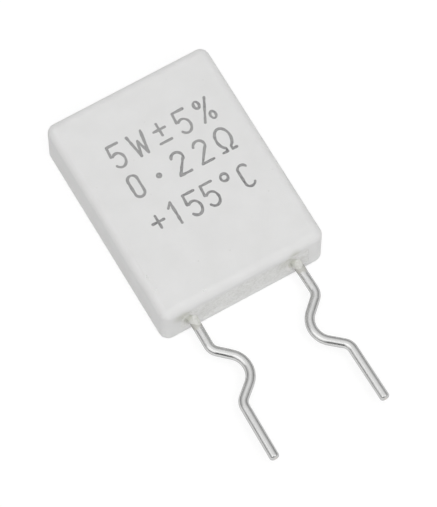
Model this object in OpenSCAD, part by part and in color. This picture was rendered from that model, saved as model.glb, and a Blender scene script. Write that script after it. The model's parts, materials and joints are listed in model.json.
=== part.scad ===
// Cement power resistor with two kinked wire leads.
// A ceramic case, closed at one end, holds a slotted metal resistance plate. Each lead is welded to one
// end of the plate, and cement fills the case round them up to its open end.
// The case lies on its back: the origin is the centre of the back face, +Z points out of the front face,
// and the leads point to -Y. All lengths are in millimetres, all angles in degrees.

/* [Case] */
// Width of the case, across both leads
case_w = 14.5; // [13:0.1:20]
// Length of the case, from the closed end to the open end
case_l = 19; // [15:0.1:30]
// Thickness of the case, from back to front
case_t = 4.8; // [4.4:0.1:8]
// Radius of the four upright corners
corner_r = 0.8; // [0.8:0.05:1.4]
// Radius of the edge round the front face
front_r = 0.75; // [0.3:0.05:0.8]
// Radius of the edge round the back face
back_r = 0.5; // [0.3:0.05:0.8]
// Thickness of the front and back walls
face_wall = 1; // [0.8:0.05:1.2]
// Thickness of the two side walls
side_wall = 1.5; // [1:0.05:1.8]
// Thickness of the wall at the closed end
end_wall = 1.5; // [1:0.1:3]
// Corner radius of the cavity
cavity_r = 0.4; // [0.2:0.05:0.8]

/* [Cement] */
// Depth of the cement's face below the open end
cement_recess = 0.1; // [0.05:0.01:0.4]
// Radius of the hollow that the cement shrinks to round each lead
sink_r = 0.95; // [0.85:0.05:1.1]
// Depth of that hollow
sink_depth = 0.35; // [0.2:0.05:0.6]
// Radius of the collar of cement on the lead, at its foot
collar_r = 0.6; // [0.55:0.05:0.8]
// Thickness of the collar at its thin end
collar_film = 0.04; // [0.03:0.01:0.1]
// Height to which the collar climbs the lead past the open end
collar_h = 0.9; // [0.4:0.1:2]
// Clearance between the cement and the metal cast into it
cast_gap = 0.01; // [0.005:0.005:0.03]

/* [Leads] */
// Diameter of the lead wire
lead_d = 0.8; // [0.6:0.05:1]
// Distance from the cavity's side wall to the middle of the lead
lead_inset = 1.075; // [0.9:0.025:1.3]
// Angle by which each lead spreads outwards
splay = 1.1; // [0:0.1:2]
// Length of a lead from the open end to its tip
lead_reach = 13.2; // [11:0.1:25]
// Straight length between the open end and the kink
standoff = 2.55; // [1.5:0.05:4]
// Angle by which the wire leaves its own line in the kink
kink_angle = 48; // [30:1:60]
// Middle radius of the two outer bends of the kink
bend_r = 1; // [0.8:0.05:1.5]
// Middle radius of the crest of the kink
crest_r = 1.85; // [1:0.05:2.5]
// Straight length between an outer bend and the crest
flank_l = 1.2; // [0.5:0.05:2]
// Chamfer where the wire was cut
tip_chamfer = 0.1; // [0.05:0.01:0.2]

/* [Resistance plate] */
// Thickness of the metal plate
plate_t = 0.25; // [0.15:0.05:0.5]
// Width of the strip that the slots leave
strip_w = 1.45; // [1:0.05:1.6]
// Least width of a slot
slot_min = 0.4; // [0.3:0.05:0.6]
// Cement between the open end and the plate
plate_setback = 3; // [2:0.1:5]
// Cement between the plate and the closed end
plate_end_gap = 1.5; // [0.5:0.1:3]
// Length of the weld between a lead and the plate
weld_l = 3; // [2:0.1:5]
// Depth of the flat that the weld presses into the wire
weld_flat = 0.15; // [0.05:0.01:0.25]

/* [Hidden] */
$fn = 64;
LEFT = -1;
RIGHT = 1;

// How far a cutting shape runs past what it cuts
past = 1;
lead_r = lead_d / 2;

// The cavity and the face that is left open
cavity_w = case_w - 2 * side_wall;
cavity_t = case_t - 2 * face_wall;
cavity_l = case_l - end_wall;
open_y = -case_l / 2;

// The plate lies in the middle of the case, and the leads against its back
plate_z = (case_t - plate_t) / 2;
lead_z = plate_z + weld_flat - lead_r;
lead_pitch = cavity_w - 2 * lead_inset;
plate_l = cavity_l - plate_setback - plate_end_gap;

// An even number of strips, so that both ends of the path are at the leads
strips = 2 * floor((lead_pitch / (strip_w + slot_min) + 1) / 2);
strip_pitch = lead_pitch / (strips - 1);
slot_w = strip_pitch - strip_w;
plate_w = lead_pitch + strip_w;

// Lengths along a lead
lead_inside = plate_setback + weld_l;
kink_l = 2 * ((bend_r + crest_r) * sin(kink_angle) + flank_l * cos(kink_angle));
tail_l = lead_reach - standoff - kink_l - tip_chamfer;

// The hollow round a lead is part of a ball
sink_ball_r = (sink_r * sink_r + sink_depth * sink_depth) / (2 * sink_depth);
collar_foot = cement_recess + 2 * sink_depth;

// A quarter of a disc, in the corner where X and Y are positive
module quarter_disc(r) {
    intersection() {
        circle(r);
        square(r);
    }
}

// A rectangle with round corners, centred
module round_rectangle(w, h, r) {
    square([w - 2 * r, h], center = true);
    for (side = [LEFT, RIGHT])
        translate([side * (w - r) / 2, 0])
            square([r, h - 2 * r], center = true);
    for (quarter = [0:3])
        rotate(90 * quarter)
            translate(quarter % 2 == 0 ? [w / 2 - r, h / 2 - r] : [h / 2 - r, w / 2 - r])
                quarter_disc(r);
}

// Section through an edge of the case, from a corner's axis outwards, with its outer corner rounded
module edge_section(r) {
    square([corner_r - r, r]);
    translate([corner_r - r, 0])
        quarter_disc(r);
}

// The layer of the case next to a face, r thick, with a rounded edge and ball corners, rounded upwards
module edge_layer(r) {
    flat_w = case_w - 2 * corner_r;
    flat_l = case_l - 2 * corner_r;
    translate([-flat_w / 2, -flat_l / 2, 0])
        cube([flat_w, flat_l, r]);
    for (quarter = [0:3]) {
        across = quarter % 2 == 0 ? flat_w : flat_l;
        along = quarter % 2 == 0 ? flat_l : flat_w;
        rotate(90 * quarter)
            translate([across / 2, along / 2, 0]) {
                rotate_extrude(angle = 90)
                    edge_section(r);
                rotate([90, 0, 0])
                    linear_extrude(along)
                        edge_section(r);
            }
    }
}

// The outside of the case
module case_block() {
    translate([0, 0, back_r])
        linear_extrude(case_t - back_r - front_r)
            round_rectangle(case_w, case_l, corner_r);
    translate([0, 0, case_t - front_r])
        edge_layer(front_r);
    translate([0, 0, back_r])
        mirror([0, 0, 1])
            edge_layer(back_r);
}

// The space inside the case, from start, measured from the open end, to the closed end
module cavity(start) {
    translate([0, open_y + start, case_t / 2])
        rotate([-90, 0, 0])
            linear_extrude(cavity_l - start)
                round_rectangle(cavity_w, cavity_t, cavity_r);
}

module ceramic_case() {
    color("whitesmoke")
        difference() {
            case_block();
            cavity(-past);
        }
}

// Puts what is drawn for a lead that leaves the case at the origin along -Y, and kinks to +X, on one side
module at_lead(side) {
    mirror([side == RIGHT ? 1 : 0, 0, 0])
        translate([-lead_pitch / 2, open_y, lead_z])
            rotate(-splay)
                children();
}

// A straight piece of wire along -Y, with what follows at its end
module straight(length) {
    rotate([90, 0, 0])
        cylinder(r = lead_r, h = length);
    translate([0, -length, 0])
        children();
}

// A bend in the wire, to +X for a positive angle and to -X for a negative one, with what follows at its end
module bend(r, angle) {
    toward = angle > 0 ? 1 : -1;
    translate([toward * r, 0, 0]) {
        rotate(angle > 0 ? 180 : angle)
            rotate_extrude(angle = abs(angle))
                translate([r, 0])
                    circle(lead_r);
        rotate(angle)
            translate([-toward * r, 0, 0])
                children();
    }
}

// The cut end of the wire
module tip() {
    rotate([90, 0, 0])
        cylinder(r1 = lead_r, r2 = lead_r - tip_chamfer, h = tip_chamfer);
}

// One lead: the wire from its weld to its tip, with the weld's flat pressed into it
module lead(side) {
    at_lead(side)
        difference() {
            translate([0, lead_inside, 0])
                straight(lead_inside + standoff)
                    bend(bend_r, kink_angle)
                        straight(flank_l)
                            bend(crest_r, -2 * kink_angle)
                                straight(flank_l)
                                    bend(bend_r, kink_angle)
                                        straight(tail_l)
                                            tip();
            translate([-lead_d, plate_setback - 2 * cast_gap, lead_r - weld_flat])
                cube([2 * lead_d, weld_l + past, lead_d]);
        }
}

module lead_left() {
    color("silver")
        lead(LEFT);
}

module lead_right() {
    color("silver")
        lead(RIGHT);
}

// A slot with a round end, from y = 0 upwards
module slot(width, length) {
    translate([-width / 2, -past])
        square([width, length - width / 2 + past]);
    translate([0, length - width / 2])
        circle(width / 2);
}

// The plate's outline, grown on all sides; every second slot starts at the far edge
module plate_outline(grow) {
    difference() {
        translate([-plate_w / 2 - grow, -grow])
            square([plate_w + 2 * grow, plate_l + 2 * grow]);
        for (gap = [1:strips - 1]) {
            middle = -lead_pitch / 2 + (gap - 0.5) * strip_pitch;
            if (gap % 2 == 1)
                translate([middle, -grow])
                    slot(slot_w - 2 * grow, plate_l - strip_w);
            else
                translate([middle, plate_l + grow])
                    mirror([0, 1])
                        slot(slot_w - 2 * grow, plate_l - strip_w);
        }
    }
}

module plate(grow) {
    translate([0, open_y + plate_setback, plate_z - grow])
        linear_extrude(plate_t + 2 * grow)
            plate_outline(grow);
}

module resistance_plate() {
    color("darkgray")
        plate(0);
}

// The hollow in the cement round a lead
module sink() {
    translate([0, cement_recess + sink_depth - sink_ball_r, 0])
        sphere(sink_ball_r);
}

// The collar of cement on a lead
module collar() {
    translate([0, collar_foot, 0])
        rotate([90, 0, 0])
            cylinder(r1 = collar_r, r2 = lead_r + collar_film, h = collar_foot + collar_h);
}

// The hole that a lead leaves in the cement
module lead_hole() {
    translate([0, lead_inside + cast_gap, 0])
        rotate([90, 0, 0])
            cylinder(r = lead_r + cast_gap, h = lead_inside + cast_gap + collar_h + past);
}

module cement_fill() {
    color("gainsboro")
        difference() {
            union() {
                difference() {
                    cavity(cement_recess);
                    for (side = [LEFT, RIGHT])
                        at_lead(side)
                            sink();
                }
                for (side = [LEFT, RIGHT])
                    at_lead(side)
                        collar();
            }
            for (side = [LEFT, RIGHT])
                at_lead(side)
                    lead_hole();
            plate(cast_gap);
        }
}

ceramic_case();
cement_fill();
resistance_plate();
lead_left();
lead_right();
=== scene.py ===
# %% [markdown]
# # A cement power resistor
# A flat ceramic box holds a slotted metal plate, and cement fills the box round it. Two tinned wires come
# out of the open end, each with a kink that holds the box off a circuit board. This lesson dresses the
# solid model of that part for a studio picture. The solid model comes first, because the pieces are fitted
# to it.

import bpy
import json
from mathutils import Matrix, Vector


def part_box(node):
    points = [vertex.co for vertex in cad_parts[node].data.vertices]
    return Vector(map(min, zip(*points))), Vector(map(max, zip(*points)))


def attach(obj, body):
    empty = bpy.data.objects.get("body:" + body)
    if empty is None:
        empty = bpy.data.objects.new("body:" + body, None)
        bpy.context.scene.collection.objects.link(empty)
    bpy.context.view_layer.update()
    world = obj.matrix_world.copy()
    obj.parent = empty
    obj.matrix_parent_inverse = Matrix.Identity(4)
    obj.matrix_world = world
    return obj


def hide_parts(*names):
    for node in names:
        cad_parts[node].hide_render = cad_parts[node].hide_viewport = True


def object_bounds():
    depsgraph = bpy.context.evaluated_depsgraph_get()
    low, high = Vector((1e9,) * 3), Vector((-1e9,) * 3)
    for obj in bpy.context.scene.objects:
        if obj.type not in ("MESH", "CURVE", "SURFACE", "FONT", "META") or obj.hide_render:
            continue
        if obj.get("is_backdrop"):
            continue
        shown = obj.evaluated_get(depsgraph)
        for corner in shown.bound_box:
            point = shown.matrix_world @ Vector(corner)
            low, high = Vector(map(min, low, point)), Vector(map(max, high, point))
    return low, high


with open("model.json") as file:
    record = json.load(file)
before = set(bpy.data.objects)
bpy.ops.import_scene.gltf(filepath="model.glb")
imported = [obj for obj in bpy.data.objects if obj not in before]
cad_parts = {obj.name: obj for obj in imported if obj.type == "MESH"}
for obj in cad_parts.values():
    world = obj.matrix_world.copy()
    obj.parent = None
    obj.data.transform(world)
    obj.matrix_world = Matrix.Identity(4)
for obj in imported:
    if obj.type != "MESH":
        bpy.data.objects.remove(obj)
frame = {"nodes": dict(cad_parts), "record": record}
cad_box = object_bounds()
print("solid pieces:", sorted(frame["nodes"]))

# %% [markdown]
# ## Modules
# bpy is Blender itself, and bmesh edits its meshes. mathutils brings vectors, matrices and a noise that is
# the same on every run, so the lumps and stains of this lesson never change.

# %% Modules
import json
import math

import bmesh
import bpy
from mathutils import Matrix, Vector, noise

print("Blender", bpy.app.version_string)

# %% [markdown]
# ## Sizes
# The solid model is in metres, and the part is only 32 mm long. The mesh operators have fixed tolerances
# that suit larger numbers, so every piece is drawn in millimetres and made smaller when it is finished.
# What the solids and their mounts can tell is measured on them.

# %% Measure the solids
MM = 0.001
LEFT = -1
RIGHT = 1
SIDES = {LEFT: "left", RIGHT: "right"}


def box_mm(node):
    """Lowest and highest corner of a solid, in millimetres."""
    low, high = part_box(node)
    return low / MM, high / MM


case_low, case_high = box_mm("ceramic_case")
case_size = case_high - case_low
open_y = case_low.y
front_z = case_high.z
mounts = {mount["name"]: mount for mount in frame["record"]["mounts"]}
tip_size = mounts["right_lead_tip"]["dims"]
lead_r = tip_size["r_mm"]
tail_l = tip_size["length_mm"]
print("case", [round(side, 3) for side in case_size], "mm, wire radius", lead_r, "mm")

# %% [markdown]
# ## The camera
# The picture looks down on the front of the case from 67 degrees up, turned 30 degrees, through a long
# lens that keeps opposite edges nearly parallel. A camera looks along its own -Z, so its three axes are
# written as the columns of its matrix.

# %% Place the camera
PICTURE_LONG_SIDE = 507
FOCAL_PIXELS = 4500
SENSOR_WIDTH = 36
camera_turn = math.radians(-29.95)
camera_rise = math.radians(67.31)
camera_distance = 355.7
aim_right = 2.69
aim_up = -3.9
scene = bpy.context.scene


def put_in_scene(name, data):
    """A new object in the scene, from a lens, a lamp, a mesh or a curve."""
    piece = bpy.data.objects.new(name, data)
    scene.collection.objects.link(piece)
    return piece


backward = Vector((math.sin(camera_turn) * math.cos(camera_rise),
                   -math.cos(camera_turn) * math.cos(camera_rise),
                   math.sin(camera_rise)))
rightward = Vector((math.cos(camera_turn), math.sin(camera_turn), 0))
upward = backward.cross(rightward)
eye = rightward * aim_right + upward * aim_up + backward * camera_distance

lens = bpy.data.cameras.new("camera")
lens.sensor_width = SENSOR_WIDTH
lens.lens = FOCAL_PIXELS / PICTURE_LONG_SIDE * SENSOR_WIDTH
camera = put_in_scene("camera", lens)
camera_axes = Matrix((rightward, upward, backward)).transposed()
camera.matrix_world = Matrix.Translation(eye * MM) @ camera_axes.to_4x4()
scene.camera = camera
scene.view_settings.view_transform = "Standard"
print("lens", round(lens.lens, 1), "mm, eye", [round(axis, 1) for axis in eye])

# %% [markdown]
# ## The floor
# A plain sheet, far wider than the part, lies under it. One large face of a grid is enough.

# %% Lay the floor
FLOOR_HALF = 3000

sheet = bmesh.new()
bmesh.ops.create_grid(sheet, x_segments=1, y_segments=1, size=FLOOR_HALF * MM)
floor_mesh = bpy.data.meshes.new("floor")
sheet.to_mesh(floor_mesh)
sheet.free()
floor = put_in_scene("floor", floor_mesh)
floor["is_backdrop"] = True
print("floor", 2 * FLOOR_HALF, "mm wide at z = 0")

# %% [markdown]
# ## White paper
# The part was photographed on white. A white floor could be made by pouring light on it, but then the pale
# ceramic would burn out too. So the paper glows a little by itself and takes the rest from the lamps,
# which leaves it a soft shadow. The Light Path node tells rays apart: the glow is only for the camera and
# for rays that metal or glass sends on, so it doesn't light the part from below.

# %% Make the paper
floor_glow = 0.76
floor_seen_grey = 0.3
floor_grey = 0.9


def set_inputs(node, inputs):
    """Sets inputs of a node, by name or number. Each is a fixed value or comes from another node."""
    for name, value in inputs.items():
        if isinstance(value, bpy.types.NodeSocket):
            node.id_data.links.new(value, node.inputs[name])
        else:
            node.inputs[name].default_value = value


def add(tree, kind, inputs=None, **settings):
    """Adds a node of a kind, with its settings and its inputs."""
    made = tree.nodes.new("ShaderNode" + kind)
    for name, value in settings.items():
        setattr(made, name, value)
    set_inputs(made, inputs or {})
    return made


def grey(level):
    """A neutral colour."""
    return (level, level, level, 1)


paper = bpy.data.materials.new("white_paper")
paper.use_nodes = True
tree = paper.node_tree
tree.nodes.clear()
rays = add(tree, "LightPath").outputs
seen = rays["Is Camera Ray"]
for kind in ("Is Glossy Ray", "Is Transmission Ray"):
    seen = add(tree, "Math", {0: seen, 1: rays[kind]}, operation="MAXIMUM").outputs[0]
glow = add(tree, "Emission", {"Color": grey(1), "Strength": floor_glow}).outputs[0]
shaded = add(tree, "BsdfDiffuse", {"Color": grey(floor_seen_grey)}).outputs[0]
white = add(tree, "AddShader", {0: glow, 1: shaded}).outputs[0]
plain = add(tree, "BsdfDiffuse", {"Color": grey(floor_grey)}).outputs[0]
chosen = add(tree, "MixShader", {0: seen, 1: plain, 2: white}).outputs[0]
add(tree, "OutputMaterial", {"Surface": chosen})
floor_mesh.materials.append(paper)
print(paper.name, "glows by", floor_glow, "for the camera")

# %% [markdown]
# ## The room
# A studio hangs white cloth round a pale part, so that its faces get soft light from every side and still
# differ a little in tone. Here the world is that tent. A spot of the room is named by the direction to it,
# and the dot product of two directions tells how near they are to each other.

# %% Look round the room


def toward(turn, rise):
    """A direction, by its angle round the part from +X and its angle above the floor, in degrees."""
    turn, rise = math.radians(turn), math.radians(rise)
    return Vector((math.cos(turn) * math.cos(rise), math.sin(turn) * math.cos(rise), math.sin(rise)))


room = bpy.data.worlds.new("room")
scene.world = room
room.use_nodes = True
tree = room.node_tree
direction = add(tree, "TexCoord").outputs["Generated"]


def nearness_to(way):
    """How near a direction of the room is to another: 1 where they agree, -1 where they oppose."""
    made = add(tree, "VectorMath", {0: direction, 1: way}, operation="DOT_PRODUCT")
    return made.outputs["Value"]


height = nearness_to(toward(turn=0, rise=90))
print("the world is", scene.world.name)

# %% [markdown]
# ## Cloth
# The cloth is bright overhead, for the front, and low down before the open end, for that face. Between
# them lies a dim belt, or the rounded edge that sees both would shine brighter than the two faces that it
# joins. One colour ramp, from overhead to low down, holds all three. A socket's id_data is its tree of
# nodes, so a helper finds its tree by itself.

# %% Hang the cloth
LOW_TURN = 274
LOW_RISE = -54
cloth_overhead = grey(0.66)
cloth_belt = (0.152, 0.15, 0.143, 1)
cloth_low = grey(1.16)
belt_place = 0.4


def ramp_of(factor, *stops):
    """A colour ramp in the tree that its factor comes from: each stop is a position and a colour."""
    made = add(factor.id_data, "ValToRGB", {"Fac": factor})
    elements = made.color_ramp.elements
    while len(elements) < len(stops):
        elements.new(0.5)
    for element, (position, colour) in zip(elements, stops):
        element.position = position
        element.color = colour
    return made.outputs["Color"]


def share_of(value, start, end, **settings):
    """How far a value has come from a start to an end, from 0 to 1."""
    inputs = {"Value": value, "From Min": start, "From Max": end}
    return add(value.id_data, "MapRange", inputs, **settings).outputs["Result"]


lowness = share_of(nearness_to(toward(LOW_TURN, LOW_RISE)), start=-1, end=1)
cloth = ramp_of(lowness, (0, cloth_overhead), (belt_place, cloth_belt), (1, cloth_low))
print("cloth from", cloth_overhead[0], "overhead to", cloth_low[0], "low down")

# %% [markdown]
# ## Walls for the metal
# A shiny wire mirrors single spots of the room, and its bright and dark lines are what tells the eye that
# it is metal. In an even tent it would look like grey plastic. So mirror rays meet grey walls instead of
# the cloth: brightest overhead, and unlit where the photographer stands.

# %% Put up the walls
UNLIT_TURN = 238
UNLIT_RISE = 22
unlit_grey = 0.1
room_strength = 1.09


def blend_of(factor, first, second, blend_type="MIX"):
    """Mixes two colours by a factor. The node mixes numbers too, and 6, 7 and 2 are its colours."""
    inputs = {0: factor, 6: first, 7: second}
    made = add(first.id_data, "Mix", inputs, data_type="RGBA", blend_type=blend_type)
    return made.outputs[2]


walls = ramp_of(height, (0, grey(0.3)), (0.35, grey(0.37)), (0.7, grey(0.58)), (0.985, grey(1)))
unlit = ramp_of(nearness_to(toward(UNLIT_TURN, UNLIT_RISE)), (0.82, grey(0)), (0.94, grey(1)))
mirrored = blend_of(unlit, walls, grey(unlit_grey))
rays = add(tree, "LightPath").outputs
lit = blend_of(rays["Is Glossy Ray"], cloth, mirrored)
set_inputs(tree.nodes["Background"], {"Color": lit, "Strength": room_strength})
print("room of strength", room_strength)

# %% [markdown]
# ## The lamps
# One lamp hangs overhead and leans to the photographer's side. It makes the front the brightest face, lets
# the far edges darken toward the outline and throws the shadow behind the part. The other two do what
# sheets of white card do: they show in the metal as bright lines. A lamp can be hidden from one kind of
# ray: the overhead lamp doesn't show in the metal, and the cards don't light matt surfaces.

# %% Hang the lamps
lamp_distance = 900


def soft_lamp(name, turn, rise, size, power):
    """A square lamp in a direction from the part, aimed at it, with its size in millimetres."""
    lamp = bpy.data.lights.new(name, "AREA")
    lamp.size = size * MM
    lamp.energy = power
    piece = put_in_scene(name, lamp)
    piece.location = toward(turn, rise) * lamp_distance * MM
    piece.rotation_euler = (-piece.location).to_track_quat("-Z", "Y").to_euler()
    return piece


top_lamp = soft_lamp("top_lamp", turn=258, rise=68, size=720, power=4.4)
top_lamp.visible_glossy = False
side_card = soft_lamp("side_card", turn=190, rise=45, size=800, power=1.38)
end_card = soft_lamp("end_card", turn=288, rise=42, size=700, power=1.1)
for card in (side_card, end_card):
    card.visible_diffuse = False
print("lamps:", [lamp.name for lamp in bpy.data.lights])

# %% [markdown]
# ## Ceramic
# The case is pressed from a white ceramic powder and fired without a glaze. It is matt, very slightly
# grainy, a touch uneven in tone, with a few dark specks. All of this is tied to the place on the piece, so
# it stays put when the piece turns. What is the same all over is set on the shader itself.

# %% Start the ceramic


def new_material(name, inputs):
    """A material with its shader's even values set, and its tree and shader to work on."""
    material = bpy.data.materials.new(name)
    material.use_nodes = True
    tree = material.node_tree
    shader = tree.nodes["Principled BSDF"]
    set_inputs(shader, inputs)
    return material, tree, shader


def object_place(tree):
    """The place on the piece, in metres."""
    return add(tree, "TexCoord").outputs["Object"]


ceramic, tree, shader = new_material("fired_ceramic", {"Specular IOR Level": 0.35})
place = object_place(tree)
print("made", ceramic.name)

# %% [markdown]
# ## Its tone and specks
# Cloudy noise shifts the white by a hair. The specks come from a pattern of cells: only the very middle of
# a cell is dark. Both helpers take their size in millimetres, which can be seen on the part.

# %% Colour the ceramic
speck_spacing = 1.3
speck_colour = (0.5, 0.49, 0.46, 1)


def noise_of(place, size, detail=2, roughness=0.5):
    """Cloudy noise with lumps of a size in millimetres, from about 0.3 to 0.7."""
    inputs = {"Vector": place, "Scale": 1 / (size * MM), "Detail": detail, "Roughness": roughness}
    return add(place.id_data, "TexNoise", inputs).outputs[0]


def cells_of(place, size):
    """Cells of a size in millimetres: a colour for each, and the distance from its middle."""
    inputs = {"Vector": place, "Scale": 1 / (size * MM), "Randomness": 1.0}
    return add(place.id_data, "TexVoronoi", inputs).outputs


cloud = noise_of(place, size=2.2, detail=3)
tone = ramp_of(cloud, (0.3, (0.795, 0.795, 0.793, 1)), (0.7, (0.825, 0.825, 0.825, 1)))
specks = cells_of(place, size=speck_spacing)
speck_mask = ramp_of(specks["Distance"], (0.03, grey(0.2)), (0.07, grey(0)))
set_inputs(shader, {"Base Color": blend_of(speck_mask, tone, speck_colour)})
print("a speck about every", speck_spacing, "mm")

# %% [markdown]
# ## Its grain
# Fine grain and a long soft wave are added up to one height. Real bumps this small would need millions of
# faces, so a Bump node tilts the surface instead. The grain also varies the gloss.

# %% Grain the ceramic
wave_share = 2.0
grain_depth = 0.012


def sum_of(first, second, share):
    """The first value plus a share of the second."""
    inputs = {0: second, 1: share, 2: first}
    return add(first.id_data, "Math", inputs, operation="MULTIPLY_ADD").outputs[0]


def bump_of(height, depth):
    """A normal that tilts as if the surface rose by the height, times a depth in millimetres."""
    inputs = {"Height": height, "Strength": 1.0, "Distance": depth * MM}
    return add(height.id_data, "Bump", inputs).outputs["Normal"]


grain = noise_of(place, size=0.07, detail=3)
roughness = ramp_of(grain, (0.3, grey(0.62)), (0.7, grey(0.8)))
wave = noise_of(place, size=1.1, detail=2)
relief = sum_of(grain, wave, share=wave_share)
set_inputs(shader, {"Roughness": roughness, "Normal": bump_of(relief, depth=grain_depth)})
print(ceramic.name, "has", len(tree.nodes), "nodes")

# %% [markdown]
# ## Cement
# The fill is a paste of fine sand and binder. Up close it is a mass of grains, some glassy and some
# chalky, so each cell of a pattern gets a tone of its own. Binder that gathers beside the wires stains the
# cement a faint olive, and the same darkening is also painted shade in the hollows. How much is known
# only once the piece is modelled, so both are read from an attribute of the mesh.

# %% Cement
BINDER_AND_SHADE = "binder_stain_and_shade"
binder_and_shade_tint = (0.77, 0.775, 0.72, 1)
sand_size = 0.16
sand_share = -0.6
sand_depth = 0.015

cement, tree, shader = new_material("sand_cement", {"Specular IOR Level": 0.25})
place = object_place(tree)
grains = cells_of(place, size=sand_size)
grain_tone = ramp_of(grains["Color"],
                     (0.1, (0.77, 0.77, 0.755, 1)),
                     (0.5, (0.835, 0.835, 0.825, 1)),
                     (0.9, (0.88, 0.88, 0.875, 1)))
cloud = noise_of(place, size=0.9, detail=3)
damp = ramp_of(cloud, (0.35, grey(0.96)), (0.65, grey(1.0)))
dry = blend_of(1.0, grain_tone, damp, "MULTIPLY")
# This attribute darkens the cement: partly the binder's real olive tint, partly painted shade in the hollows
binder_and_shade = add(tree, "Attribute", attribute_name=BINDER_AND_SHADE).outputs["Fac"]
colour = blend_of(binder_and_shade, dry, binder_and_shade_tint, "MULTIPLY")
fine = noise_of(place, size=0.08, detail=4, roughness=0.6)
roughness = ramp_of(fine, (0.3, grey(0.75)), (0.7, grey(0.95)))
relief = sum_of(fine, grains["Distance"], share=sand_share)
normal = bump_of(relief, depth=sand_depth)
set_inputs(shader, {"Base Color": colour, "Roughness": roughness, "Normal": normal})
print("made", cement.name, "with grains of", sand_size, "mm")

# %% [markdown]
# ## Tinned wire
# The wire is copper with a coat of tin, drawn through a die that leaves faint lines along it. To let the
# lines follow the wire round its bends, every point of its mesh carries the place that it had while the
# wire was straight, and the pattern is read from that. Tin goes dull in air: a thin grey film covers it,
# and light at a low angle has a longer way through it. The shader's coat does just that, so the wire's two
# outlines come out darker than its middle.

# %% Tinned wire
WIRE_PLACE = "straight_place"
line_stretch = 0.03
dull_share = 0.8
line_depth = 0.006


def stretched(place, stretch):
    """A place with its Y made smaller, so that a pattern is drawn out along Y."""
    inputs = {"Vector": place, "Scale": (1, stretch, 1)}
    return add(place.id_data, "Mapping", inputs).outputs["Vector"]


tin_film = {"Coat Weight": 1.0, "Coat Roughness": 0.3, "Coat IOR": 1.06, "Coat Tint": grey(0.74)}
tin, tree, shader = new_material("tin_coat", tin_film)
straight = add(tree, "Attribute", attribute_name=WIRE_PLACE).outputs["Vector"]
lines = noise_of(stretched(straight, line_stretch), size=0.06, detail=3)
dull = noise_of(straight, size=0.7, detail=3)
tone = ramp_of(dull, (0.3, (0.9, 0.9, 0.89, 1)), (0.7, (0.97, 0.97, 0.965, 1)))
sheen = sum_of(lines, dull, share=dull_share)
bright = ramp_of(sheen, (0.6, grey(0.14)), (1, grey(0.28)))
set_inputs(shader, {"Normal": bump_of(lines, depth=line_depth)})
print("made", tin.name)

# %% [markdown]
# ## Cement on the wire
# Where the wire leaves the case it carries a smear of dried cement. The smear is matt, isn't metal, and
# ends in patches. The same attribute tells how near a point is to the case, and the patches are those of
# the dull film.

# %% Smear the wire's root
lead_inside = 6.0
smear_l = 1.15
patch_share = 0.6
smear_colour = (0.84, 0.835, 0.79, 1)
smear_roughness = 0.8

distance = add(tree, "SeparateXYZ", {0: straight}).outputs["Y"]
nearness = share_of(distance, start=(lead_inside + smear_l) * MM, end=lead_inside * MM)
patchy = sum_of(nearness, dull, share=patch_share)
smear = ramp_of(patchy, (0.4, grey(0)), (0.6, grey(1)))
bare_metal = ramp_of(patchy, (0.4, grey(1)), (0.6, grey(0)))
colour = blend_of(smear, tone, smear_colour)
roughness = blend_of(smear, bright, grey(smear_roughness))
set_inputs(shader, {"Base Color": colour, "Roughness": roughness, "Metallic": bare_metal})
print("smear of", smear_l, "mm on", tin.name)

# %% [markdown]
# ## Cut copper
# A shear cuts the wire to length. The cut bares the copper, and the blade drags some of the tin across it,
# so the face is partly copper and partly grey, with the fine marks of the blade.

# %% Cut copper
shear_depth = 0.012

copper, tree, shader = new_material("cut_copper", {"Metallic": 1.0})
place = object_place(tree)
dragged = noise_of(place, size=0.25, detail=3)
tone = ramp_of(dragged, (0.38, (0.6, 0.48, 0.41, 1)), (0.55, (0.62, 0.61, 0.59, 1)))
shear = noise_of(place, size=0.05, detail=2)
roughness = ramp_of(shear, (0.3, grey(0.32)), (0.7, grey(0.5)))
normal = bump_of(shear, depth=shear_depth)
set_inputs(shader, {"Base Color": tone, "Roughness": roughness, "Normal": normal})
print("made", copper.name)

# %% [markdown]
# ## Resistance alloy
# The plate inside is a punched sheet of a grey nickel-chromium alloy. It is cast into the cement, so
# nobody sees it until the part is cut open, but it has the rolled grain of such a sheet. Its solid has the
# right shape already, so it only gets this material.

# %% Resistance alloy
rolled_stretch = 0.05

alloy, tree, shader = new_material("rolled_alloy", {"Metallic": 1.0})
place = object_place(tree)
grain = noise_of(stretched(place, rolled_stretch), size=0.08, detail=3)
tone = ramp_of(grain, (0.3, (0.5, 0.48, 0.45, 1)), (0.7, (0.6, 0.58, 0.55, 1)))
roughness = ramp_of(grain, (0.3, grey(0.3)), (0.7, grey(0.45)))
set_inputs(shader, {"Base Color": tone, "Roughness": roughness})
plate_mesh = frame["nodes"]["resistance_plate"].data
plate_mesh.materials.clear()
plate_mesh.materials.append(alloy)
print("the plate keeps its solid and gets", alloy.name)

# %% [markdown]
# ## Marking ink
# The rating is printed on the front in thin grey ink. It gathers at the edges of a stroke and thins out
# along the middle, and some patches are nearly bare. The film is highest in the middle of a stroke, so the
# height of a point tells how near the edge it is. The row nearest to the leads is the darkest, as if the
# stamp had been pressed harder there, so the ink also thins out along Y.

# %% Marking ink
ink_height = 0.0035
fade_share = 0.6
middle_share = 0.25
thinning = 0.025  # for each millimetre away from the leads

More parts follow.
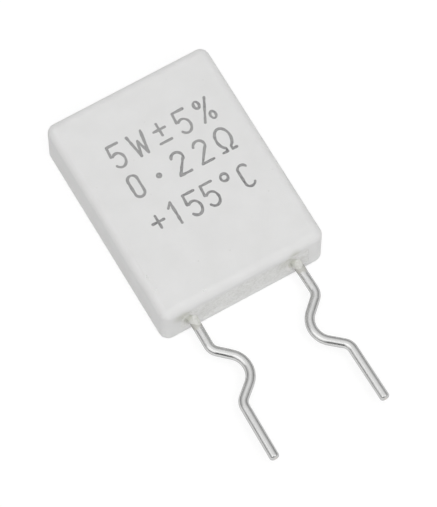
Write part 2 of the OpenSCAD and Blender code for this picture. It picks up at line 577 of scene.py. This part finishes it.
ink, tree, shader = new_material("marking_ink", {"Specular IOR Level": 0.3, "Roughness": 0.6})
place = object_place(tree)
axes = add(tree, "SeparateXYZ", {0: place}).outputs
middle = share_of(axes["Z"], start=front_z * MM, end=(front_z + ink_height) * MM)
patches = noise_of(place, size=0.22, detail=4, roughness=0.65)
fade = noise_of(place, size=3.0, detail=1)
uneven = sum_of(patches, fade, share=fade_share)
thin = sum_of(uneven, middle, share=middle_share)
bare = sum_of(thin, axes["Y"], share=thinning / MM)
tone = ramp_of(bare, (0.6, (0.115, 0.115, 0.12, 1)), (1, grey(0.37)))
set_inputs(shader, {"Base Color": tone})
print("made", ink.name)

# %% [markdown]
# ## The leads
# On the real part each lead is a length of straight wire that a forming tool kinks. It could be a curve
# with a round section, but a mesh keeps control of the rings, the pressed flat and the cut tip. So the
# wire starts as a circle that is pulled on and on, and every ring notes how far along the wire it is.

# %% Start a wire
WIRE_SIDES = 48
UPRIGHT = Matrix.Rotation(math.pi / 2, 3, "X")


class Wire:
    """A wire that grows from a circle. It knows its free end, where that is and which way it heads."""

    def __init__(self, radius, start):
        self.shape = bmesh.new()
        self.place = self.shape.verts.layers.float_vector.new(WIRE_PLACE)
        made = bmesh.ops.create_circle(self.shape, cap_ends=True, segments=WIRE_SIDES, radius=radius)
        bmesh.ops.rotate(self.shape, verts=made["verts"], matrix=UPRIGHT)
        bmesh.ops.translate(self.shape, verts=made["verts"], vec=(0, start, 0))
        self.radius = radius
        self.edges = list(self.shape.edges)
        self.at = Vector((0, start, 0))
        self.heading = Vector((0, -1, 0))
        self.travelled = 0.0
        for vert in made["verts"]:
            vert[self.place] = Vector((vert.co.x, 0, vert.co.z)) * MM

    def ring(self):
        """The vertices of the free end, each once and always in the same order."""
        return list(dict.fromkeys(vert for edge in self.edges for vert in edge.verts))

    def take_end(self, made, length):
        """Makes new geometry the free end, and notes how far along it is."""
        fresh = {item for item in made if isinstance(item, bmesh.types.BMVert)}
        self.edges = [item for item in made if isinstance(item, bmesh.types.BMEdge)
                      and item.verts[0] in fresh and item.verts[1] in fresh]
        self.travelled += length
        for vert in self.ring():
            across = vert[self.place]
            vert[self.place] = Vector((across.x, self.travelled * MM, across.z))


print("a wire has", WIRE_SIDES, "sides and a radius of", lead_r, "mm")

# %% [markdown]
# ## Pulling and bending
# An extrusion makes a straight run and a spin makes a bend. Each starts from the free end that the last
# one left, so the wire stays one unbroken tube. A bend is spun in small steps, and every step leaves a
# ring, which keeps the bend round and lets the drawn lines follow it.

# %% Pull and bend
ring_spacing = 0.1


def pull(wire, length):
    """Pulls the free end of a wire straight on."""
    made = bmesh.ops.extrude_edge_only(wire.shape, edges=wire.edges)
    wire.take_end(made["geom"], length)
    bmesh.ops.translate(wire.shape, verts=wire.ring(), vec=wire.heading * length)
    wire.at += wire.heading * length


def bend(wire, radius, angle):
    """Spins the free end of a wire round a bend, to the left for a positive angle."""
    steps = math.ceil(abs(angle) * radius / ring_spacing)
    leftward = Vector((-wire.heading.y, wire.heading.x, 0))
    centre = wire.at + leftward * math.copysign(radius, angle)
    turn = Matrix.Rotation(angle, 3, "Z")
    for step in range(steps):
        made = bmesh.ops.spin(wire.shape, geom=wire.ring() + wire.edges, cent=centre, axis=(0, 0, 1),
                              angle=angle / steps, steps=1, use_merge=False, use_duplicate=False)
        wire.take_end(made["geom_last"], abs(angle) * radius / steps)
    wire.at = centre + turn @ (wire.at - centre)
    wire.heading = turn @ wire.heading


print("bends have a ring every", ring_spacing, "mm")

# %% [markdown]
# ## The cut end
# The edge of the tip is rounded: a few short pulls follow a quarter of a circle, each with a smaller ring.
# One face closes the end, and an inset leaves a thin skin of tin round the copper.

# %% Cut the end
TIP_STEPS = 6
tip_r = 0.2
tin_skin = 0.03


def cut_end(wire, core_material):
    """Ends a wire with a rounded edge and a flat cut that bares its core."""
    at_radius, at_depth = wire.radius, 0.0
    for step in range(1, TIP_STEPS + 1):
        angle = 0.5 * math.pi * step / TIP_STEPS
        next_radius = wire.radius - tip_r * (1 - math.cos(angle))
        next_depth = tip_r * math.sin(angle)
        pull(wire, next_depth - at_depth)
        shrink = next_radius / at_radius
        bmesh.ops.scale(wire.shape, verts=wire.ring(), vec=(shrink, shrink, shrink),
                        space=Matrix.Translation(-wire.at))
        at_radius, at_depth = next_radius, next_depth
    face = bmesh.ops.contextual_create(wire.shape, geom=wire.edges)["faces"][0]
    bmesh.ops.inset_individual(wire.shape, faces=[face], thickness=tin_skin)
    face.material_index = core_material


print("tips are rounded by", tip_r, "mm")

# %% [markdown]
# ## One lead
# Inside the case the wire is pressed flat where it is welded to the plate. Outside, it runs straight to
# hold the case off a board, leans toward the other lead, turns back over a crest and leans away again,
# until it heads the way it came.

# %% Form a lead
COPPER_SLOT = 1
standoff = 2.55
kink_angle = math.radians(48)
bend_r = 1.0
crest_r = 1.85
flank_l = 1.2
tip_past_mount = 0.1
weld_start = 2.98
weld_flat = 0.15
flat_slope = 0.02


def form_lead():
    """A lead that leaves the case at the origin along -Y and kinks to +X."""
    wire = Wire(lead_r, lead_inside)
    for vert in wire.ring():
        vert.co.z = min(vert.co.z, lead_r - weld_flat)
    pull(wire, lead_inside - weld_start)
    pull(wire, flat_slope)
    for vert in wire.ring():
        across = vert[wire.place] / MM
        vert.co.x, vert.co.z = across.x, across.z
    pull(wire, weld_start - flat_slope)
    pull(wire, standoff)
    bend(wire, bend_r, kink_angle)
    pull(wire, flank_l)
    bend(wire, crest_r, -2 * kink_angle)
    pull(wire, flank_l)
    bend(wire, bend_r, kink_angle)
    pull(wire, tail_l + tip_past_mount - tip_r)
    cut_end(wire, COPPER_SLOT)
    return wire


print("a lead leans over by", round(math.degrees(kink_angle)), "degrees")

# %% [markdown]
# ## Both leads
# The two leads are mirror twins. Each tail lies on the line through its mount, and so does the root where
# the wire leaves the case, so the mounts place them. A mirrored mesh is inside out, and that is why the
# normals are worked out again when a drawing becomes an object.

# %% Place the leads


def to_object(shape, name, *materials):
    """An object, still in millimetres, from a bmesh."""
    bmesh.ops.recalc_face_normals(shape, faces=shape.faces)
    mesh = bpy.data.meshes.new(name)
    shape.to_mesh(mesh)
    shape.free()
    for material in materials:
        mesh.materials.append(material)
    return put_in_scene(name, mesh)


roots = {}
root_marks = {}
leads = {}
for side, name in SIDES.items():
    mount = mounts[name + "_lead_tip"]
    tail_at = Vector(mount["pos_m"]) / MM
    outward = Vector(mount["axis"])
    root = tail_at + outward * ((open_y - tail_at.y) / outward.y)
    splay = math.atan2(outward.x, -outward.y)
    roots[side] = root
    root_marks[side] = Matrix.Translation(root) @ Matrix.Rotation(splay, 4, "Z")
    wire = form_lead()
    if side == RIGHT:
        bmesh.ops.scale(wire.shape, vec=(-1, 1, 1), verts=wire.shape.verts)
    bmesh.ops.transform(wire.shape, matrix=root_marks[side], verts=wire.shape.verts)
    leads[side] = to_object(wire.shape, "tinned_lead_" + name, tin, copper)
    print(name, "lead:", round(wire.travelled, 2), "mm of wire, root at", [round(axis, 3) for axis in root])

# %% [markdown]
# ## The case
# The case is one pressed block, open at the end where the wires come out. A cube is the natural start. Its
# upright edges are rounded first, then the rims of the front and the back, so that the corners come out
# round in every direction.

# %% Round a block
ROUND_STEPS = 10
NEARLY_ALONG = 0.99
corner_r = 0.8
front_r = 0.75
back_r = 0.5
near = 1e-4


def block(low, high):
    """A block between two corners."""
    shape = bmesh.new()
    bmesh.ops.create_cube(shape, size=1)
    bmesh.ops.scale(shape, vec=high - low, verts=shape.verts)
    bmesh.ops.translate(shape, vec=(low + high) / 2, verts=shape.verts)
    return shape


def round_edges(shape, edges, radius, steps=ROUND_STEPS):
    """Rounds edges with an arc."""
    bmesh.ops.bevel(shape, geom=edges, offset=radius, offset_type="OFFSET", segments=steps, profile=0.5,
                    affect="EDGES", material=-1)


def edges_along(shape, axis):
    """The edges of a block that run along an axis."""
    ways = {edge: (edge.verts[0].co - edge.verts[1].co).normalized() for edge in shape.edges}
    return [edge for edge, way in ways.items() if abs(way.dot(axis)) > NEARLY_ALONG]


def rim_at(shape, height):
    """The edges that lie flat at a height."""
    return [edge for edge in shape.edges if all(abs(vert.co.z - height) < near for vert in edge.verts)]


outside = block(case_low, case_high)
round_edges(outside, edges_along(outside, Vector((0, 0, 1))), corner_r)
round_edges(outside, rim_at(outside, case_high.z), front_r)
round_edges(outside, rim_at(outside, case_low.z), back_r)
case = to_object(outside, "ceramic_shell", ceramic)
print("rounded block with", len(case.data.polygons), "faces")

# %% [markdown]
# ## The cavity
# The cavity is a second block with rounded edges, cut out of the first. It reaches past the open end, so
# that no thin skin is left there. A Boolean is applied straight away and its cutter is thrown away, so
# that only finished pieces stay in the scene.

# %% Hollow the block
face_wall = 1.0
side_wall = 1.5
end_wall = 1.5
cavity_r = 0.4
past_end = 1.0


def apply_modifiers(piece):
    """Gives a piece the mesh that its modifiers make of it."""
    depsgraph = bpy.context.evaluated_depsgraph_get()
    finished = bpy.data.meshes.new_from_object(piece.evaluated_get(depsgraph))
    worn = piece.data
    piece.modifiers.clear()
    piece.data = finished
    bpy.data.meshes.remove(worn)
    finished.name = piece.name


def combine(piece, other, operation):
    """Cuts another object out of a piece, or joins it on, and throws the other one away."""
    step = piece.modifiers.new("combine", "BOOLEAN")
    step.operation = operation
    step.solver = "EXACT"
    step.object = other
    apply_modifiers(piece)
    bpy.data.meshes.remove(other.data)


cavity_low = case_low + Vector((side_wall, 0, face_wall))
cavity_high = case_high - Vector((side_wall, end_wall, face_wall))
cavity_size = cavity_high - cavity_low
inside = block(cavity_low - Vector((0, past_end, 0)), cavity_high)
round_edges(inside, edges_along(inside, Vector((0, 1, 0))), cavity_r)
combine(case, to_object(inside, "cavity"), "DIFFERENCE")
print("cavity", [round(side, 2) for side in cavity_size], "mm")

# %% [markdown]
# ## The mouth
# No pressed edge is perfectly sharp. A tiny bevel where the cavity comes out of the case catches the light
# as the real edge does. The edges to round are found by their place, because a Boolean numbers them anew.

# %% Round the edge of the mouth
MOUTH_STEPS = 3
mouth_r = 0.04
mouth_near = 1e-3


def at_mouth(vert):
    """Whether a point lies on the edge where the cavity comes out of the case."""
    inside_x = abs(vert.co.x) < cavity_high.x + mouth_near
    inside_z = cavity_low.z - mouth_near < vert.co.z < cavity_high.z + mouth_near
    return inside_x and inside_z and abs(vert.co.y - open_y) < mouth_near


shell = bmesh.new()
shell.from_mesh(case.data)
mouth = [edge for edge in shell.edges if at_mouth(edge.verts[0]) and at_mouth(edge.verts[1])]
round_edges(shell, mouth, mouth_r, steps=MOUTH_STEPS)
shell.to_mesh(case.data)
shell.free()
print("mouth:", len(mouth), "edges rounded")

# %% [markdown]
# ## Pits in the case
# A pressed and fired surface has a few pits where a grain broke out. They are small, but they catch the
# eye on a plain white face. Each one is a lumpy pebble that is cut out of the skin.

# %% Cut the pits
below_rim = 0.5
pebble_lumps = 0.5
pebble_flatness = 0.6
pits = (
    (Vector((-6.55, -5.67, front_z)), 0.13),
    (Vector((-6.51, -7.0, front_z)), 0.1),
    (Vector((-7.06, -8.89, front_z - below_rim)), 0.14),
    (Vector((-3.3, -8.87, front_z)), 0.12),
)
for middle, radius in pits:
    pebble = bmesh.new()
    bmesh.ops.create_icosphere(pebble, subdivisions=2, radius=radius)
    for vert in pebble.verts:
        vert.co *= 1 + pebble_lumps * noise.noise(vert.co / radius + middle)
        vert.co.z *= pebble_flatness
    bmesh.ops.translate(pebble, vec=middle, verts=pebble.verts)
    combine(case, to_object(pebble, "pebble"), "DIFFERENCE")
print(len(pits), "pits cut")

# %% [markdown]
# ## Finishing a piece
# Every piece ends in the same way. Faces are shaded smooth except across sharp edges, large flat faces
# keep their own direction, and the millimetres become metres. Then the piece is tied to the part's body,
# and the solid that it stands for, if any, is hidden.

# %% Finish the case


def finish_piece(piece, node=None, sharp_angle=35):
    """Shades a piece, brings it to metres and ties it to the part."""
    mesh = piece.data
    mesh.shade_smooth()
    mesh.set_sharp_from_angle(angle=math.radians(sharp_angle))
    flat_faces = piece.modifiers.new("flat_faces", "WEIGHTED_NORMAL")
    flat_faces.keep_sharp = True
    apply_modifiers(piece)
    piece.data.transform(Matrix.Scale(MM, 4))
    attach(piece, "root")
    if node:
        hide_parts(node)
    print(piece.name, "has", len(piece.data.polygons), "faces")


finish_piece(case, "ceramic_case")

# %% [markdown]
# ## Binder and painted shade on the rim
# When the cement was poured, some binder ran over the rim beside each wire and left a faint olive stain
# there, and the same spot darkens the rim as painted shade beside the hollow. It is a soft round spot in the
# ceramic's colour, measured from a point on the end face. Each spot goes between the shader and the colour
# that it had.

# %% Stain and shade the rim
rim_binder_and_shade_tint = (0.8, 0.805, 0.75, 1)
rim_binder_and_shade_spots = ((LEFT, Vector((-0.9, 0, 1.5)), 1.1), (RIGHT, Vector((-0.15, 0, 1.9)), 0.75))

tree = ceramic.node_tree
shader = tree.nodes["Principled BSDF"]
place = object_place(tree)
for side, shift, radius in rim_binder_and_shade_spots:
    middle = (roots[side] + shift) * MM
    gap = add(tree, "VectorMath", {0: place, 1: middle}, operation="DISTANCE").outputs["Value"]
    binder_and_shade_spot = share_of(gap, start=radius * MM, end=0, interpolation_type="SMOOTHSTEP")
    clean = shader.inputs["Base Color"].links[0].from_socket
    # Each spot darkens the ceramic: a faint olive of binder, and painted shade beside the hollow
    set_inputs(shader, {"Base Color": blend_of(binder_and_shade_spot, clean, rim_binder_and_shade_tint, "MULTIPLY")})
print(len(rim_binder_and_shade_spots), "stains on the rim")

# %% [markdown]
# ## The cement
# The cement is poured in at the open end and sets a little below the rim. A fine grid makes its face,
# because every point of it can then be moved. The grid starts at the closed end of the cavity and is
# pulled forward to the open one, which makes the sides, and one large face closes the back.

# %% Pour the cement
cement_recess = 0.03
cell = 0.055
fill_half_x = cavity_size.x / 2
fill_half_z = cavity_size.z / 2
cavity_middle = (cavity_low + cavity_high) / 2
face_y = open_y + cement_recess


def round_corner(x, z):
    """Moves a point of the rectangle's grid so that the rectangle's corners come out round."""
    reach_x = max(abs(x) - (fill_half_x - cavity_r), 0)
    reach_z = max(abs(z) - (fill_half_z - cavity_r), 0)
    if reach_x == 0 or reach_z == 0:
        return x, z
    pull_in = max(reach_x, reach_z) / math.hypot(reach_x, reach_z)
    return (math.copysign(abs(x) - reach_x * (1 - pull_in), x),
            math.copysign(abs(z) - reach_z * (1 - pull_in), z))


# The grid is one unit wide until it is scaled to the cavity
fill = bmesh.new()
cells_x = round(cavity_size.x / cell)
cells_z = round(cavity_size.z / cell)
bmesh.ops.create_grid(fill, x_segments=cells_x, y_segments=cells_z, size=0.5)
bmesh.ops.scale(fill, vec=(cavity_size.x, cavity_size.z, 1), verts=fill.verts)
for vert in fill.verts:
    vert.co.x, vert.co.y = round_corner(vert.co.x, vert.co.y)
bmesh.ops.rotate(fill, matrix=UPRIGHT, verts=fill.verts)
bmesh.ops.translate(fill, vec=(0, cavity_high.y, cavity_middle.z), verts=fill.verts)
made = bmesh.ops.extrude_face_region(fill, geom=fill.faces[:])
face_verts = [item for item in made["geom"] if isinstance(item, bmesh.types.BMVert)]
bmesh.ops.translate(fill, vec=(0, face_y - cavity_high.y, 0), verts=face_verts)
open_edges = [edge for edge in fill.edges if edge.is_boundary]
bmesh.ops.contextual_create(fill, geom=open_edges)
print("cement face:", len(face_verts), "points")

# %% [markdown]
# ## Hollows
# Wet cement shrinks as it sets. To the left of each wire, where the binder ran, it is drawn down to a wide
# dip and to a groove next to the wire. Both depths are formulas of the place: half a wave of a cosine for
# the dip, and a bell curve for the groove.

# %% Measure the hollows
sink_r = 1.25
sink_depth = 0.35
sink_shifts = {LEFT: Vector((-0.7, 0, 1.1)), RIGHT: Vector((-0.6, 0, 0.8))}
sink_shares = {LEFT: 1.0, RIGHT: 0.6}
groove_r = 0.56
groove_w = 0.2
groove_depth = 0.22
dry_turn = 0.25
wet_turn = 0.7


def clamped(value):
    """A value held between 0 and 1."""
    return min(max(value, 0), 1)


def wet_side(side, place):
    """How much binder ran to a place: all of it to the left of the wire, none to the right."""
    from_root = (place - roots[side]).xz
    leftward = -from_root.x / max(from_root.length, groove_r)
    return clamped((leftward + dry_turn) / wet_turn)


def sink_at(side, place, ragged):
    """Depth of the cement at a place beside a wire. Ragged stretches distances, for an uneven outline."""
    root = roots[side]
    share = min(ragged * (root + sink_shifts[side] - place).xz.length / sink_r, 1)
    dip = sink_shares[side] * sink_depth * 0.5 * (1 + math.cos(math.pi * share))
    from_groove = (ragged * (root - place).xz.length - groove_r) / groove_w
    return wet_side(side, place) * max(dip, groove_depth * math.exp(-from_groove ** 2))


for side in SIDES:
    dip_place = roots[side] + sink_shifts[side]
    print("hollow", round(sink_at(side, dip_place, ragged=1), 3), "mm deep")

# %% [markdown]
# ## The rough face
# Now every point of the face sinks into its hollow and gets a share of fine lumps. Fractal noise adds
# smaller and smaller lumps to large ones, as a mass of grains does. Both fade out next to the walls of the
# case, where the cement clings.

# %% Roughen the cement
lump_height = 0.03
lump_size = 0.5
lump_fading = 0.8
lump_halving = 2.0
LUMP_LEVELS = 4
ragged_share = 0.25
ragged_size = 0.6
ragged_layer = 3.7
wall_zone = 0.12
sink_zone = 0.4

for vert in face_verts:
    wall_gap = min(fill_half_x - abs(vert.co.x), fill_half_z - abs(vert.co.z - cavity_middle.z))
    lump_place = Vector((vert.co.x, 0, vert.co.z)) / lump_size
    lumps = noise.fractal(lump_place, lump_fading, lump_halving, LUMP_LEVELS)
    ragged = 1 + ragged_share * noise.noise(Vector((vert.co.x, ragged_layer, vert.co.z)) / ragged_size)
    sink = max(sink_at(side, vert.co, ragged) for side in SIDES)
    sink *= math.sin(0.5 * math.pi * clamped(wall_gap / sink_zone))
    vert.co.y += sink + lump_height * lumps * min(wall_gap / wall_zone, 1)
depths = [vert.co.y - face_y for vert in face_verts]
cement_piece = to_object(fill, "cement_filling", cement)
print("cement face from", round(min(depths), 3), "to", round(max(depths), 3), "mm deep")

# %% [markdown]
# ## Collars
# Wet cement creeps up each wire and dries there as a thin ragged collar, with a tongue on one side. A
# cylinder with many rows is the start. Each of its points is moved to the collar's thickness and height,
# and a Boolean joins the collar to the fill.

# %% Let the cement climb the wires
COLLAR_ROWS = 14
COLLAR_STEPS = 48
collar_r = 0.44
collar_film = 0.02
collar_foot = 0.9
collar_heights = {LEFT: (0.35, 0.85), RIGHT: (0.3, 0.7)}
tongue_ways = {LEFT: Vector((0.3, 0.95, 0)), RIGHT: Vector((-0.2, 0.98, 0))}
edge_raggedness = 0.2
edge_lumps = 2
edge_shift = 3.1
film_raggedness = 0.03
film_lumps = 2.5
film_rows = 4

for side in SIDES:
    # The cylinder is one unit tall, so a point's height is its share of the way up the collar
    collar = bmesh.new()
    bmesh.ops.create_cone(collar, cap_ends=True, segments=COLLAR_STEPS, radius1=1, radius2=1, depth=1)
    bmesh.ops.translate(collar, vec=(0, 0, 0.5), verts=collar.verts)
    uprights = [edge for edge in collar.edges if abs(edge.verts[0].co.z - edge.verts[1].co.z) > 0.5]
    bmesh.ops.subdivide_edges(collar, edges=uprights, cuts=COLLAR_ROWS)
    low_reach, high_reach = collar_heights[side]
    for vert in collar.verts:
        share = vert.co.z
        around = Vector((vert.co.x, vert.co.y, 0)).normalized()
        lean = max(around.dot(tongue_ways[side]), 0) ** 2
        lean += edge_raggedness * noise.noise(around * edge_lumps + Vector((side * edge_shift, 0, 0)))
        reach = low_reach + (high_reach - low_reach) * lean
        radius = lead_r + collar_film + (collar_r - lead_r - collar_film) * (1 - share) ** 2
        film_noise = noise.noise(around * film_lumps + Vector((0, 0, share * film_rows)))
        radius += film_raggedness * (1 - share) * film_noise
        vert.co = Vector((around.x * radius, collar_foot - share * (collar_foot + reach), around.y * radius))
    bmesh.ops.transform(collar, matrix=root_marks[side], verts=collar.verts)
    combine(cement_piece, to_object(collar, "collar", cement), "UNION")
print("cement with collars:", len(cement_piece.data.polygons), "faces")

# %% [markdown]
# ## Room for the metal
# The wires and the plate were there before the cement. So copies of them, a hair larger, cut their own
# room out of it, and no two pieces fill the same space. The plate's solid is made of loose triangles in
# metres, so its copy is brought to millimetres and merged first.

# %% Make room for the metal
cast_gap = 0.01
merge_gap = 1e-4


def swollen(piece, scale):
    """A copy of a piece, a hair larger, to cut its own room."""
    copy = bmesh.new()
    copy.from_mesh(piece.data)
    bmesh.ops.scale(copy, vec=(scale, scale, scale), verts=copy.verts)
    bmesh.ops.remove_doubles(copy, verts=copy.verts, dist=merge_gap)
    copy.normal_update()
    for vert in copy.verts:
        vert.co += vert.normal * cast_gap
    return to_object(copy, "room", cement)


for metal, scale in ((leads[LEFT], 1), (leads[RIGHT], 1), (frame["nodes"]["resistance_plate"], 1 / MM)):
    combine(cement_piece, swollen(metal, scale), "DIFFERENCE")
reach = open_y - min(vert.co.y for vert in cement_piece.data.vertices)
print("the cement climbs the wires by", round(reach, 2), "mm")

# %% [markdown]
# ## Binder and painted shade in the cement
# Now that the cement has its shape, every point can be told how dark it is: most in the depth of a hollow,
# where the darkening is painted shade as well as the olive of the binder, some at the foot of the collar
# beside it, and a tint of binder on the collars themselves. Noise makes it patchy. The cement's material
# reads this attribute.

# %% Stain and shade the cement
binder_and_shade_depth = 0.28
binder_and_shade_climb = 0.35
climb_r = 0.5
climb_fade = 0.25
collar_stain = 0.5
binder_and_shade_level = 0.85
binder_and_shade_patchiness = 0.3
patch_size = 0.4


def binder_and_shade_at(place):
    """Share of binder tint and painted shade at a place: in the hollows, up each collar's foot and over the
    collar.
    """
    side = LEFT if place.x < 0 else RIGHT
    from_wire = (roots[side] - place).xz.length
    near_wire = clamped((climb_r + climb_fade - from_wire) / climb_fade)
    climb = binder_and_shade_climb * wet_side(side, place) * near_wire
    film = collar_stain if from_wire < collar_r else 0
    # Depth below the face darkens as painted shade in the hollows, together with the binder's olive
    return min(max((place.y - face_y + climb) / binder_and_shade_depth, film), 1)


binder_and_shade_layer = cement_piece.data.attributes.new(BINDER_AND_SHADE, "FLOAT", "POINT")
for vert, mark in zip(cement_piece.data.vertices, binder_and_shade_layer.data):
    patch = noise.noise(vert.co / patch_size)
    mark.value = binder_and_shade_at(vert.co) * (binder_and_shade_level + binder_and_shade_patchiness * patch)
finish_piece(cement_piece, "cement_fill", sharp_angle=50)
for side, name in SIDES.items():
    finish_piece(leads[side], "lead_" + name)

# %% [markdown]
# ## The print
# The front carries a rating: watts, tolerance, ohms and the highest temperature, in thin strokes with
# round ends, as a pen plotter would draw them. A font would give strokes with outlines of its own, so the
# characters are put together from straight and round pen strokes.

# %% Pen strokes
STROKE_STEP = 0.06
LINE_STEPS = 2
ARC_STEPS = 8


def line(x0, y0, x1, y1):
    """Points along a straight stroke."""
    start, end = Vector((x0, y0)), Vector((x1, y1))
    steps = max(LINE_STEPS, math.ceil((end - start).length / STROKE_STEP))
    return [start.lerp(end, step / steps) for step in range(steps + 1)]


def arc(x, y, radius_x, radius_y, start, end):
    """Points along a round stroke, from one angle to another, in degrees."""
    length = math.radians(abs(end - start)) * max(radius_x, radius_y)
    steps = max(ARC_STEPS, math.ceil(length / STROKE_STEP))
    angles = [math.radians(start + (end - start) * step / steps) for step in range(steps + 1)]
    return [Vector((x + radius_x * math.cos(angle), y + radius_y * math.sin(angle))) for angle in angles]


print("strokes have a point every", STROKE_STEP, "mm")

# %% [markdown]
# ## Characters
# Each character is a few strokes round its own middle, in millimetres. Values that several of them share,
# such as half their height, have names.

# %% Characters
half_w = 0.6
half_h = 0.98
bar = 0.5
bowl_r = 0.4
bowl_y = half_h - bowl_r
characters = {
    "0": [arc(0, bowl_y, bowl_r, bowl_r, 0, 180), line(-bowl_r, bowl_y, -bowl_r, -bowl_y),
          arc(0, -bowl_y, bowl_r, bowl_r, 180, 360), line(bowl_r, -bowl_y, bowl_r, bowl_y)],
    "1": [line(-0.35, 0.6, 0, half_h), line(0, half_h, 0, -half_h)],
    "2": [arc(0, half_h - 0.48, 0.48, 0.48, 165, -35), line(0.39, 0.3, -bar, -half_h),
          line(-bar, -half_h, bar, -half_h)],
    "5": [line(bar, half_h, -0.45, half_h), line(-0.45, half_h, -0.52, 0.1),
          arc(-0.05, -0.42, 0.5, 0.63, 130, -145)],
    "W": [line(-0.62, half_h, -0.32, -half_h), line(-0.32, -half_h, 0, 0.3), line(0, 0.3, 0.32, -half_h),
          line(0.32, -half_h, 0.62, half_h)],
    "%": [line(-bar, -half_h, bar, half_h), arc(-0.38, 0.68, 0.22, 0.32, 0, 360),
          arc(0.38, -0.68, 0.22, 0.32, 0, 360)],
    "+": [line(-bar, 0, bar, 0), line(0, 0.55, 0, -0.55)],
    "plus_minus": [line(-bar, 0.3, bar, 0.3), line(0, 0.85, 0, -0.25), line(-bar, -0.85, bar, -0.85)],
    "ohm": [line(-half_w, -half_h, -0.22, -half_h), line(-0.22, -half_h, -0.22, -0.75),
            arc(0, 0.15, half_w, 0.9, 248, -68), line(0.22, -0.75, 0.22, -half_h),
            line(0.22, -half_h, half_w, -half_h)],
    "degree": [arc(0, 0.72, 0.3, 0.32, 0, 360)],
    "C": [arc(0, bowl_y, bowl_r, bowl_r, 25, 180), line(-bowl_r, bowl_y, -bowl_r, -bowl_y),
          arc(0, -bowl_y, bowl_r, bowl_r, 180, 335)],
    "dot": [arc(0, -0.1, 0.14, 0.14, 0, 360)],
}
print(len(characters), "characters,", 2 * half_h, "mm tall")

# %% [markdown]
# ## Ink on the front
# A curve turns each stroke into a round tube, and the ends close as half a ball because the tube narrows
# there. Noise in its radius gives the uneven edge of a stamp.

# %% Draw the strokes
CAP_ANGLES = (30, 60, 85)
PEN_ROUNDNESS = 2
pen_r = 0.108
pen_unevenness = 0.35
unevenness_scale = 2.5
first_x = -3.5
rows = (
    {"y": 4.4, "pitch": 1.97, "text": ("5", "W", "plus_minus", "5", "%")},
    {"y": 1.4, "pitch": 1.98, "text": ("0", "dot", "2", "2", "ohm")},
    {"y": -2.1, "pitch": 1.58, "text": ("+", "1", "5", "5", "degree", "C")},
)


def pen_stroke(curve, points):
    """Adds a stroke with round ends to a curve."""
    first_way = (points[0] - points[1]).normalized() * pen_r
    last_way = (points[-1] - points[-2]).normalized() * pen_r
    caps = [(math.sin(math.radians(angle)), math.cos(math.radians(angle))) for angle in CAP_ANGLES]
    path = [(points[0] + first_way * out, size) for out, size in reversed(caps)]
    path += [(point, 1) for point in points]
    path += [(points[-1] + last_way * out, size) for out, size in caps]
    spline = curve.splines.new("POLY")
    spline.points.add(len(path) - 1)
    for knot, (point, size) in zip(spline.points, path):
        weight = 1 + pen_unevenness * noise.noise(point.to_3d() * unevenness_scale)
        knot.co = (*point, 0, 1)
        knot.radius = size * weight


strokes = bpy.data.curves.new("pen_strokes", "CURVE")
strokes.dimensions = "3D"
strokes.twist_mode = "Z_UP"
strokes.bevel_depth = pen_r
strokes.bevel_resolution = PEN_ROUNDNESS
strokes.use_fill_caps = True
for row in rows:
    for column, character in enumerate(row["text"]):
        middle = Vector((first_x + column * row["pitch"], row["y"]))
        for points in characters[character]:
            pen_stroke(strokes, [middle + point for point in points])
print(len(strokes.splines), "pen strokes")

# %% [markdown]
# ## A film of ink
# Ink is far thinner than its strokes are wide. So the tubes become one mesh, which is pressed flat to a
# film and laid on the front.

# %% Press them flat
drawing = put_in_scene("rating_print", strokes)
depsgraph = bpy.context.evaluated_depsgraph_get()
film = bpy.data.meshes.new_from_object(drawing.evaluated_get(depsgraph))
bpy.data.objects.remove(drawing)
film.transform(Matrix.Translation((0, 0, front_z)) @ Matrix.Diagonal((1, 1, ink_height / pen_r, 1)))
film.materials.clear()
film.materials.append(ink)
rating = put_in_scene("rating_print", film)
finish_piece(rating, sharp_angle=180)

# %% [markdown]
# ## The boxes
# The dressed part has to fill the same box as the solid one, so the sizes of both are printed.

# %% Compare the boxes
boxes = {"cad": [list(corner) for corner in cad_box], "visual": [list(corner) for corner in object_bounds()]}
for name, (low, high) in boxes.items():
    print(name, [round((b - a) / MM, 3) for a, b in zip(low, high)], "mm")
